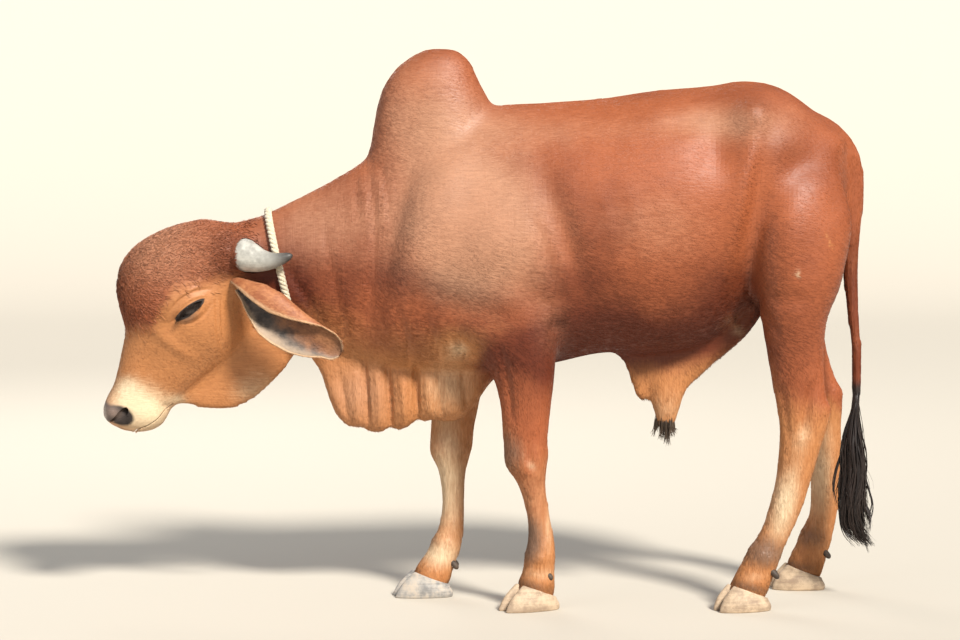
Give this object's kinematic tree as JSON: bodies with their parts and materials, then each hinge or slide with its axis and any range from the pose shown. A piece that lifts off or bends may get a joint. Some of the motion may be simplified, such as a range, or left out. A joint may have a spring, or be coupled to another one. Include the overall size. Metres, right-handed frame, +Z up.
{
  "type": "gir bull",
  "caption": "Young humped Gir bull standing still with its head held low, with drooping rolled ears, short horns, a folded dewlap, a tufted tail and a rope collar.",
  "frame": {"origin": "on the floor, under the middle of the model's box", "axes": "+Z up, X along the body with the head toward -X, the bull's left side toward -Y"},
  "size_m": [1.9891, 0.4817, 1.4209],
  "materials": {
    "coat": "short glossy red-brown hair over skin",
    "pale_coat": "short tan hair over thin skin",
    "horn": "silver-grey horn with a dark tip",
    "hoof": "dusty grey-brown horn of the foot",
    "eye": "wet dark brown",
    "black_hair": "black wavy hair",
    "rope": "pale twisted fibre"
  },
  "bodies": {
    "root": {"barrel": "coat", "claw_fore_left_inner": "hoof", "claw_fore_left_outer": "hoof", "claw_fore_right_inner": "hoof", "claw_fore_right_outer": "hoof", "claw_hind_left_inner": "hoof", "claw_hind_left_outer": "hoof", "claw_hind_right_inner": "hoof", "claw_hind_right_outer": "hoof", "collar_rope": "rope", "dewclaw_fore_left_inner": "hoof", "dewclaw_fore_left_outer": "hoof", "dewclaw_fore_right_inner": "hoof", "dewclaw_fore_right_outer": "hoof", "dewclaw_hind_left_inner": "hoof", "dewclaw_hind_left_outer": "hoof", "dewclaw_hind_right_inner": "hoof", "dewclaw_hind_right_outer": "hoof", "dewlap": "pale_coat", "ear_left": "pale_coat", "ear_right": "pale_coat", "eye_left": "eye", "eye_right": "eye", "foreleg_left": "coat", "foreleg_right": "coat", "forequarters": "coat", "head": "pale_coat", "hindleg_left": "coat", "hindleg_right": "coat", "hindquarters": "coat", "horn_left": "horn", "horn_right": "horn", "hump": "coat", "neck": "coat", "scrotum": "pale_coat", "sheath": "pale_coat", "tail_lower": "coat", "tail_switch": "black_hair", "tail_upper": "coat"}
  },
  "joints": []
}
